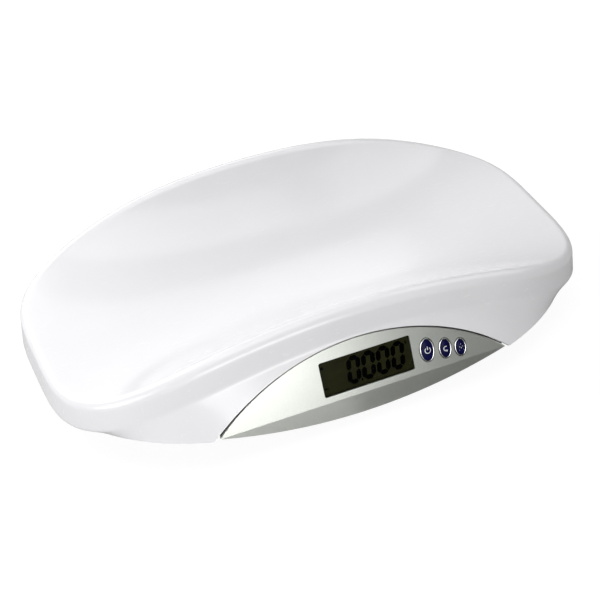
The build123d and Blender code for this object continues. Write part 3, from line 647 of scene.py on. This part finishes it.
def build_pan(p, c, colours):
    angles = pan_angles(p, c)
    edge = rim_edge(p, angles[0])
    inwards = 0.96  # where the search for the first rolling ball starts
    guess = (edge.x * inwards, edge.y * inwards, crease_height(p, edge.x) + p.flank_height)
    columns = []
    for angle in angles:
        column, guess = pan_column(p, c, angle, guess)
        columns.append(column)
    rings = [[column[j] for column in columns] for j in range(len(columns[0]))]
    bm = sheet(rings)
    cap_end(bm, Vector((0, 0, trough_height(p, 0, 0))))
    bmesh.ops.recalc_face_normals(bm, faces=bm.faces)
    top = max(bm.faces, key=lambda f: f.calc_center_median().z)
    if top.normal.z < 0:
        bmesh.ops.reverse_faces(bm, faces=bm.faces)
    material = pan_gloss(tuple(colours.pan))
    obj = piece("pan_shell", bm, "pan", material, outward=False)
    wall = obj.modifiers.new("wall", "SOLIDIFY")
    wall.thickness = p.wall
    wall.offset = -1
    wall.use_even_offset = True
    edge_round = obj.modifiers.new("lip_round", "BEVEL")
    edge_round.width = p.lip_round
    edge_round.segments = 4
    edge_round.limit_method = "ANGLE"
    edge_round.angle_limit = radians(55)
    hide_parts("weighing_pan")
    build_underside(p, material)


def under_trough(p, x, y):
    """Level inside the trough's wall, which the ribs and bosses run up to."""
    return trough_height(p, x, y) - p.wall * 0.6


def add_bar(whole, rings):
    """Adds a closed bar, a sheet through rings with both ends filled, to a larger mesh."""
    part = sheet(rings)
    bmesh.ops.holes_fill(part, edges=[e for e in part.edges if e.is_boundary], sides=0)
    mesh = bpy.data.meshes.new("part")
    part.to_mesh(mesh)
    part.free()
    whole.from_mesh(mesh)
    bpy.data.meshes.remove(mesh)


def build_underside(p, material):
    """Screw bosses and ribs below the trough."""
    corners, steps = 40, 32
    turns = [2 * pi * i / corners for i in range(corners)]
    circle = [oval_point(p.boss_radius, p.boss_radius, p.boss_radius, 2, turn)[0] for turn in turns]
    whole = bmesh.new()
    for sx in (-1, 1):
        for sy in (-1, 1):
            middle = Vector((sx * p.boss_along, sy * p.boss_across, 0))
            low = [middle + spot + Vector((0, 0, p.support_top)) for spot in circle]
            high = [Vector((spot.x, spot.y, under_trough(p, spot.x, spot.y))) for spot in low]
            add_bar(whole, [low, high])
    rib_low = p.support_top + p.rib_gap
    reach = p.boss_along + p.rib_reach
    side = p.boss_across + p.rib_reach / 2
    ribs = [((-reach, y), (reach, y)) for y in (-p.boss_across, p.boss_across)]
    ribs += [((x, -side), (x, side)) for x in (-p.boss_along, p.boss_along)]
    for (x0, y0), (x1, y1) in ribs:
        along = Vector((x1 - x0, y1 - y0, 0)).normalized()
        half = Vector((-along.y, along.x, 0)) * p.rib_width / 2
        rings = []
        for i in range(steps + 1):
            x, y = x0 + (x1 - x0) * i / steps, y0 + (y1 - y0) * i / steps
            low, high = Vector((x, y, rib_low)), Vector((x, y, under_trough(p, x, y)))
            rings.append([low - half, high - half, high + half, low + half])
        add_bar(whole, rings)
    obj = piece("pan_underside", whole, "pan", material, smooth=False)
    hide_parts("weighing_pan")


# ------------------------------------------------------------------ buttons
def oval_ring(c, u, v, half_width, half_height, outset, w, count=72):
    """Ring of points parallel to an oval on the console's facet."""
    ring = []
    for i in range(count):
        a = 2 * pi * i / count
        x, y = half_width * cos(a), half_height * sin(a)
        normal = Vector((cos(a) / half_width, sin(a) / half_height)).normalized()
        ring.append(on_panel(c, u + x + outset * normal.x, v + y + outset * normal.y, w))
    return ring


# each ring's place u and v on the facet, then its half width and half height, in millimetres
BUTTONS = {"power": (68.8, 21.5, 7.6, 12.3), "mode": (87.6, 17.6, 6.6, 10.5), "memory": (103.4, 14.0, 6.1, 9.3)}


def button_oval(name):
    return [value * MM for value in BUTTONS[name]]


def build_ring(c, name, material):
    """Plated ring: upright outside, round on top, with a skirt down through the housing."""
    u, v, half_width, half_height = button_oval(name)
    rim, proud, skirt, steps = c.ring_rim, c.ring_proud, 0.75 * MM, 8
    shoulder = 0.55 * proud
    profile = [(-rim, -c.wall), (-rim, shoulder)]
    for i in range(steps + 1):
        a = pi - pi * i / steps
        profile.append((-rim / 2 + rim / 2 * cos(a), shoulder + (proud - shoulder) * sin(a)))
    profile += [(0, 0), (-skirt, 0), (-skirt, -c.wall), (-rim, -c.wall)]
    rings = [oval_ring(c, u, v, half_width, half_height, outset, w) for outset, w in profile]
    obj = piece(name + "_ring", sheet(rings), "base", material)
    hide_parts(name + "_button_ring")


def cap_level(c, share):
    """Height of a cap's crown at a share of the way from its middle to its edge."""
    return c.cap_proud + c.cap_dome * (1 - share ** 2)


def build_cap(c, name, material):
    """Domed cap with a round edge, a flange behind the housing's wall and a stem down to its switch."""
    u, v, half_width, half_height = button_oval(name)
    inset = c.ring_rim + c.cap_clearance
    edge, edge_steps, flange, stem, foot = 0.55 * MM, 4, 0.9 * MM, 2.2 * MM, -8.5 * MM
    flange_top, flange_low, stem_top = [-c.wall - drop * MM for drop in (0.15, 1.2, 1.25)]
    rings = []
    for share in (0.08, 0.25, 0.45, 0.62, 0.76, 0.87):
        wide, high = (half_width - inset) * share, (half_height - inset) * share
        rings.append(oval_ring(c, u, v, wide, high, 0, cap_level(c, share)))
    wide, high = half_width - inset, half_height - inset
    edge_top = cap_level(c, 0.93)
    for i in range(edge_steps + 1):
        a = pi / 2 * i / edge_steps
        rings.append(oval_ring(c, u, v, wide, high, -edge * (1 - sin(a)), edge_top - edge * (1 - cos(a))))
    for half_x, half_y, outset, w in ((wide, high, 0, -c.wall), (wide, high, flange, flange_top),
                                      (wide, high, flange, flange_low), (stem, stem, 0, stem_top),
                                      (stem, stem, 0, foot)):
        rings.append(oval_ring(c, u, v, half_x, half_y, outset, w))
    bm = sheet(rings)
    cap_end(bm, on_panel(c, u, v, cap_level(c, 0)))
    cap_end(bm, on_panel(c, u, v, foot))
    obj = piece(name + "_cap", bm, name + "_button", material)
    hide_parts(name + "_button_cap")


def build_painted_shadow_ring(c, name, material):
    """Thin black ring that shows round a plated ring: painted shadow of the groove at its foot."""
    u, v, half_width, half_height = button_oval(name)
    root, shoulder, toe, proud = -0.3 * MM, 0.42 * MM, 0.55 * MM, 0.12 * MM
    profile = [(root, 0), (root, proud), (shoulder, proud), (toe, 0), (root, 0)]
    rings = [oval_ring(c, u, v, half_width, half_height, outset, w) for outset, w in profile]
    piece(name + "_painted_shadow_ring", sheet(rings), "base", material)


def ribbon(c, name, points, width):
    """Rings of a thin strip of ink along a path on the crown of a cap."""
    u, v, half_width, half_height = button_oval(name)
    inset = c.ring_rim + c.cap_clearance
    count = len(points)
    top, root = 0.03 * MM, -0.05 * MM
    rings = []
    for i, (x, y) in enumerate(points):
        before, after = points[max(0, i - 1)], points[min(count - 1, i + 1)]
        side = Vector((before[1] - after[1], after[0] - before[0])).normalized() * width / 2
        ring = []
        for sign, lift in ((-1, top), (1, top), (1, root), (-1, root)):
            a, b = (x + sign * side.x) * MM, (y + sign * side.y) * MM
            share = hypot(a / (half_width - inset), b / (half_height - inset))
            ring.append(on_panel(c, u + a, v + b, cap_level(c, share) + lift))
        rings.append(ring)
    return rings


def arc(radius, start, end, count=20):
    turns = [radians(start + (end - start) * i / count) for i in range(count + 1)]
    return [(radius * cos(t), radius * sin(t)) for t in turns]


# strokes of each sign: a path and its width, in millimetres from the middle of the cap
SIGNS = {
    "power": [(arc(2.9, 125, 415), 0.75), ([(0, 0.6), (0, 4.2)], 0.75)],
    "mode": [(arc(2.3, 60, 300), 0.75), ([(0.2, -3.5), (1.5, -2.0), (-0.5, -1.3)], 0.7)],
    "memory": [([(0, 3.6), (0, -0.6)], 0.75), ([(-1.7, 1.0), (0, -0.9), (1.7, 1.0)], 0.75),
               ([(-2.2, -2.6), (2.2, -2.6)], 0.75)],
}


def build_sign(c, name, material):
    """Generic sign printed on a cap."""
    whole = bmesh.new()
    for points, width in SIGNS[name]:
        add_bar(whole, ribbon(c, name, points, width))
    piece(name + "_sign", whole, name + "_button", material, smooth=False)


# ------------------------------------------------------------------ display
def six_sided(length_in, stroke, lean=None):
    """Outline of a segment, lying along the display or, with a lean, standing up it."""
    half, edge = length_in / 2, stroke / 2
    corners = [(-half, 0), (-half + edge, edge), (half - edge, edge), (half, 0), (half - edge, -edge),
               (-half + edge, -edge)]
    if lean is None:
        return corners
    return [(y + x * lean, x) for x, y in corners]


def oblong(width, height):
    x, y = width / 2, height / 2
    return [(-x, -y), (x, -y), (x, y), (-x, y)]


def display_shapes(c):
    """Zeros with the point after the first one and three small signs: outline and centre of each."""
    inner_width = c.digit_width - c.digit_stroke
    inner_height = (c.digit_height - c.digit_stroke) / 2
    lean = sin(c.digit_slant) / cos(c.digit_slant)
    gap, point_width, point_height, point_drop = 0.45 * MM, 1.6 * MM, 2.4 * MM, 0.5 * MM
    level = six_sided(inner_width - gap, c.digit_stroke)
    upright = six_sided(inner_height - gap, c.digit_stroke, lean)
    shapes = []
    for i in range(4):
        u = c.digit_first + i * c.digit_pitch
        for side in (-1, 1):
            shapes.append((level, u + side * inner_height * lean, side * inner_height))
            for half in (-1, 1):
                shift = half * inner_height / 2
                shapes.append((upright, u + side * inner_width / 2 + shift * lean, shift))
    point_v = -inner_height - point_drop
    point_u = c.digit_first + c.digit_pitch / 2 + point_v * lean
    shapes.append((oblong(point_width, point_height), point_u, point_v))
    edge_u, edge_v = c.window_width / 2 - c.sign_inset, c.window_height / 2 - 2 * c.sign_inset
    stroke = c.sign_stroke
    shapes.append((oblong(5 * stroke, 2 * stroke), -edge_u + stroke, -edge_v))
    shapes.append((oblong(1.5 * stroke, 4 * stroke), edge_u, edge_v))
    dot = [(2 * stroke * cos(pi * i / 12), 2 * stroke * sin(pi * i / 12)) for i in range(24)]
    shapes.append((dot, -edge_u, edge_v))
    return shapes


def build_digits(c, material):
    """Segments and small signs, as a film on the front of the cell."""
    whole = bmesh.new()
    low, film = -c.digit_level, 0.12 * MM
    for corners, u, v in display_shapes(c):
        rings = [[on_panel(c, c.window_u + u + x, c.window_v + v + y, w) for x, y in corners]
                 for w in (low, low + film)]
        add_bar(whole, rings)
    obj = piece("display_digits", whole, "base", material, smooth=False)
    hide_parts("lcd_segments")


def build_gap_shade_seal(c, material):
    """Black seal behind the gap between the console's arc and the pan, clear of the pan at full load; its black
    paints the shade that falls in that gap.
    """
    steps = 160
    radius = arc_radius(c)
    middle = c.arc_height - radius
    start = asin((c.shade_seal_end - middle) / radius)
    rings = []
    for i in range(steps + 1):
        turn = start + (pi - 2 * start) * i / steps
        ring = []
        for outset, w in ((-c.shade_seal_root, 0), (c.shade_seal_reach, 0), (c.shade_seal_reach, c.shade_seal_wall),
                          (-c.shade_seal_root, c.shade_seal_wall)):
            reach = radius + outset
            ring.append(on_panel(c, reach * cos(turn), middle + reach * sin(turn), -c.shade_seal_depth - w))
        rings.append(ring)
    whole = bmesh.new()
    add_bar(whole, rings)
    piece("console_gap_shade_seal", whole, "base", material, smooth=False)


class SCALE_OT_pan(bpy.types.Operator):
    """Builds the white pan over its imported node"""
    bl_idname = "scale.build_pan"
    bl_label = "Build the pan"

    def execute(self, context):
        scene = context.scene
        build_pan(scene.scale_pan, scene.scale_console, scene.scale_colours)
        return {"FINISHED"}


class SCALE_OT_buttons(bpy.types.Operator):
    """Builds the three plated rings, each with a thin black ring of painted shadow round its foot, and the navy
    caps with their signs
    """
    bl_idname = "scale.build_buttons"
    bl_label = "Build the buttons"

    def execute(self, context):
        c, colours = context.scene.scale_console, context.scene.scale_colours
        chrome = plated("ring_bright_plating", tuple(colours.chrome))
        navy = button_gloss(tuple(colours.navy))
        ink = legend_ink(tuple(colours.legend))
        # black of the painted shadow round the foot of each ring
        rubber = soft_rubber("painted_shadow_ring_black", (0.012, 0.012, 0.014))
        for name in BUTTONS:
            build_ring(c, name, chrome)
            build_painted_shadow_ring(c, name, rubber)
            build_cap(c, name, navy)
            build_sign(c, name, ink)
        return {"FINISHED"}


class SCALE_OT_console(bpy.types.Operator):
    """Gives the console and its display their finishes"""
    bl_idname = "scale.dress_console"
    bl_label = "Dress the console"

    def execute(self, context):
        colours = context.scene.scale_colours
        dress("console_housing", silver_paint(tuple(colours.silver)))
        dress("display_window", clear_window())
        dress("lcd_panel", polariser(tuple(colours.olive)))
        build_digits(context.scene.scale_console, segment_ink(tuple(colours.ink)))
        black = moulded("inner_black_moulding", (0.03, 0.03, 0.033))
        for node in ("display_frame", "board_parts", "switch_bodies"):
            dress(node, black)
        # black seal behind the arc's gap, whose black paints the shade that falls in that gap
        build_gap_shade_seal(context.scene.scale_console, soft_rubber("gap_shade_seal_black", (0.012, 0.012, 0.013)))
        dress("zebra_strip", soft_rubber("zebra_silicone", (0.10, 0.08, 0.09)))
        dress("control_board", circuit_board())
        dress("console_back", moulded("console_back_moulding", (0.42, 0.43, 0.43)))
        plunger = moulded("switch_plunger_moulding", (0.75, 0.75, 0.73))
        for name in BUTTONS:
            dress(name + "_switch_plunger", plunger)
        return {"FINISHED"}


class SCALE_OT_base(bpy.types.Operator):
    """Gives the base, the load cell, the leads and the screws their finishes"""
    bl_idname = "scale.dress_base"
    bl_label = "Dress the base"

    def execute(self, context):
        white = moulded("base_white_moulding", tuple(context.scene.scale_colours.base))
        for node in ("base_tray", "base_cover", "battery_door"):
            dress(node, white)
        steel = plated("screw_zinc_plating", (0.55, 0.56, 0.58), 0.28)
        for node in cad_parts:
            if node.endswith("_screws") or node == "overload_stops":
                dress(node, steel)
        aluminium = milled_metal("load_cell_milled_aluminium", (0.72, 0.73, 0.74))
        for node in ("load_cell", "cell_base_spacer", "cell_top_spacer"):
            dress(node, aluminium)
        dress("pan_support", milled_metal("pan_support_rolled_steel", (0.58, 0.59, 0.60), (1, 12, 1)))
        dress("battery_cells", battery_foil())
        dress("battery_contacts", plated("contact_nickel_plating", (0.70, 0.67, 0.60), 0.2))
        dress("rubber_feet", soft_rubber("foot_black_rubber", (0.03, 0.03, 0.032)))
        sleeve = soft_rubber("lead_grey_sleeve", (0.12, 0.12, 0.125))
        for node in ("cell_lead", "battery_lead"):
            dress(node, sleeve)
        return {"FINISHED"}


# ------------------------------------------------------------------ stage
BACKDROP_GLOW = 0.93    # white of the backdrop in view, over which the shadow lies
SHADOW_SHARE = 0.24     # how much of the floor's own shading shows in view
FLOOR_REACH = 9         # half the floor's side, in metres
WORLD_FILL = 0.12       # light of the world on the scale
WORLD_IN_VIEW = 1.0     # white of the world in view

AIM = (0, 0, 0.05)
LAMPS = {   # place, aim, size and watts
    "key_lamp": ((-1.3, 1.7, 1.4), AIM, (1.6, 1.6), 38.7),
    "rear_lamp": ((0.2, 2.2, 1.3), AIM, (1.6, 1.6), 10),
    "top_lamp": ((0, 0, 2.5), AIM, (1.6, 1.6), 13.4),
    "right_lamp": ((1.5, 0.2, 1.7), AIM, (1.6, 1.6), 13.4),
    "left_lamp": ((-1.5, -0.8, 0.7), AIM, (1.0, 1.0), 13.4),
    "console_lamp": ((-0.08, -1.15, 0.21), (-0.08, -0.2, 0.08), (0.66, 0.40), 3.9),
}


def stage_floor(colours):
    """Floor that looks white, with a soft shadow, and lights the scale in its own tone."""
    bm = bmesh.new()
    bmesh.ops.create_grid(bm, x_segments=8, y_segments=8, size=FLOOR_REACH)
    f = Finish("stage_floor")
    f.tree.nodes.remove(f.shader)
    diffuse = f.tree.nodes.new("ShaderNodeBsdfDiffuse")
    glow = f.tree.nodes.new("ShaderNodeEmission")
    seen = f.tree.nodes.new("ShaderNodeLightPath").outputs["Is Camera Ray"]
    backdrop = tuple(colours.backdrop)
    f.tree.links.new(f.blend_colours(seen, backdrop, shade(backdrop, SHADOW_SHARE)), diffuse.inputs["Color"])
    strength = f.tree.nodes.new("ShaderNodeMath")
    strength.operation = "MULTIPLY"
    strength.inputs[1].default_value = BACKDROP_GLOW
    f.tree.links.new(seen, strength.inputs[0])
    f.tree.links.new(strength.outputs[0], glow.inputs["Strength"])
    both = f.tree.nodes.new("ShaderNodeAddShader")
    f.tree.links.new(diffuse.outputs[0], both.inputs[0])
    f.tree.links.new(glow.outputs[0], both.inputs[1])
    f.tree.links.new(both.outputs[0], f.output.inputs["Surface"])
    floor = mesh_object("floor", bm, f.material)


def stage_card(name, corners, tone, reflection_only=False):
    """Studio card out of view, of which the shade and the reflection show, or the reflection alone."""
    bm = bmesh.new()
    bm.faces.new([bm.verts.new(corner) for corner in corners])
    f = Finish(name + "_cloth")
    weave = f.noise(400, 3)
    f.set(Base_Color=f.blend_colours(f.spread(weave, 0, 1), shade(tone, 0.9), shade(tone, 1.1)), Roughness=0.9,
          Specular_IOR_Level=0.1)
    card = mesh_object(name, bm, f.material)
    card.visible_camera = False
    card.visible_shadow = not reflection_only
    card.visible_diffuse = not reflection_only


def stage_lamp(name, place, aim, size, watts):
    data = bpy.data.lights.new(name, "AREA")
    data.shape = "RECTANGLE"
    data.size, data.size_y = size
    data.energy = watts
    lamp = bpy.data.objects.new(name, data)
    bpy.context.scene.collection.objects.link(lamp)
    lamp.location = place
    lamp.rotation_mode = "QUATERNION"
    lamp.rotation_quaternion = (Vector(aim) - Vector(place)).to_track_quat("-Z", "Y")


def stage_world():
    world = bpy.data.worlds.new("studio")
    bpy.context.scene.world = world
    world.use_nodes = True
    tree = world.node_tree
    tree.nodes.clear()
    out = tree.nodes.new("ShaderNodeOutputWorld")
    back = tree.nodes.new("ShaderNodeBackground")
    back.inputs["Color"].default_value = (1, 1, 1, 1)
    seen = tree.nodes.new("ShaderNodeLightPath").outputs["Is Camera Ray"]
    strength = tree.nodes.new("ShaderNodeMapRange")
    tree.links.new(seen, strength.inputs["Value"])
    strength.inputs["To Min"].default_value = WORLD_FILL
    strength.inputs["To Max"].default_value = WORLD_IN_VIEW
    tree.links.new(strength.outputs["Result"], back.inputs["Strength"])
    tree.links.new(back.outputs[0], out.inputs["Surface"])


def stage_camera(s):
    az, el = s.camera_azimuth, s.camera_elevation
    back = Vector((-sin(az) * cos(el), -cos(az) * cos(el), sin(el)))
    right = Vector((cos(az), -sin(az), 0))
    up = back.cross(right)
    turned_right = right * cos(s.camera_roll) + up * sin(s.camera_roll)
    turned_up = up * cos(s.camera_roll) - right * sin(s.camera_roll)
    data = bpy.data.cameras.new("camera")
    camera = bpy.data.objects.new("camera", data)
    bpy.context.scene.collection.objects.link(camera)
    rotation = Matrix((turned_right, turned_up, back)).transposed()
    camera.rotation_mode = "QUATERNION"
    camera.rotation_quaternion = rotation.to_quaternion()
    camera.location = Vector((0, 0, s.aim_height)) + back * s.camera_distance
    data.sensor_width = 36
    data.lens = data.sensor_width * s.focal_share
    data.shift_x = s.shift_right
    data.shift_y = s.shift_up
    data.clip_start, data.clip_end = 0.05, 50
    bpy.context.scene.camera = camera


class SCALE_OT_stage(bpy.types.Operator):
    """Sets the floor, the lamps, the world and the camera"""
    bl_idname = "scale.set_stage"
    bl_label = "Set the stage"

    def execute(self, context):
        scene = context.scene
        stage_floor(scene.scale_colours)
        stage_world()
        for name, (place, aim, size, watts) in LAMPS.items():
            stage_lamp(name, place, aim, size, watts)
        upright = [(0.25, -1.0, 0), (1.3, -0.55, 0), (1.3, -0.55, 0.6), (0.25, -1.0, 0.6)]
        stage_card("right_card", upright, (0.05, 0.055, 0.045))
        lying = [(0.0, -0.21, 0.001), (0.17, -0.19, 0.001), (0.27, -0.42, 0.001), (0.06, -0.42, 0.001)]
        stage_card("floor_card", lying, (0.02, 0.022, 0.018), reflection_only=True)
        stage_camera(scene.scale_stage)
        scene.view_settings.view_transform = "Standard"
        return {"FINISHED"}


OPERATORS = [SCALE_OT_pan, SCALE_OT_console, SCALE_OT_buttons, SCALE_OT_base, SCALE_OT_stage]


class SCALE_PT_sidebar(bpy.types.Panel):
    """Lists the scale's sizes and the steps that build it"""
    bl_idname = "SCALE_PT_sidebar"
    bl_label = "Baby weighing scale"
    bl_space_type = "VIEW_3D"
    bl_region_type = "UI"
    bl_category = "Scale"

    def draw(self, context):
        for group_name, group in GROUPS.items():
            column = self.layout.column(align=True)
            for prop in group.__annotations__:
                column.prop(getattr(context.scene, group_name), prop)
        for operator in OPERATORS:
            self.layout.operator(operator.bl_idname)


def register():
    for group in GROUPS.values():
        bpy.utils.register_class(group)
    for operator in OPERATORS:
        bpy.utils.register_class(operator)
    bpy.utils.register_class(SCALE_PT_sidebar)
    for name, group in GROUPS.items():
        setattr(bpy.types.Scene, name, bpy.props.PointerProperty(type=group))


def unregister():
    for name in GROUPS:
        delattr(bpy.types.Scene, name)
    bpy.utils.unregister_class(SCALE_PT_sidebar)
    for operator in reversed(OPERATORS):
        bpy.utils.unregister_class(operator)
    for group in reversed(list(GROUPS.values())):
        bpy.utils.unregister_class(group)


def main():
    register()
    bpy.ops.scale.build_pan()
    bpy.ops.scale.dress_console()
    bpy.ops.scale.build_buttons()
    bpy.ops.scale.dress_base()
    bpy.ops.scale.set_stage()


if __name__ == "__main__":
    main()
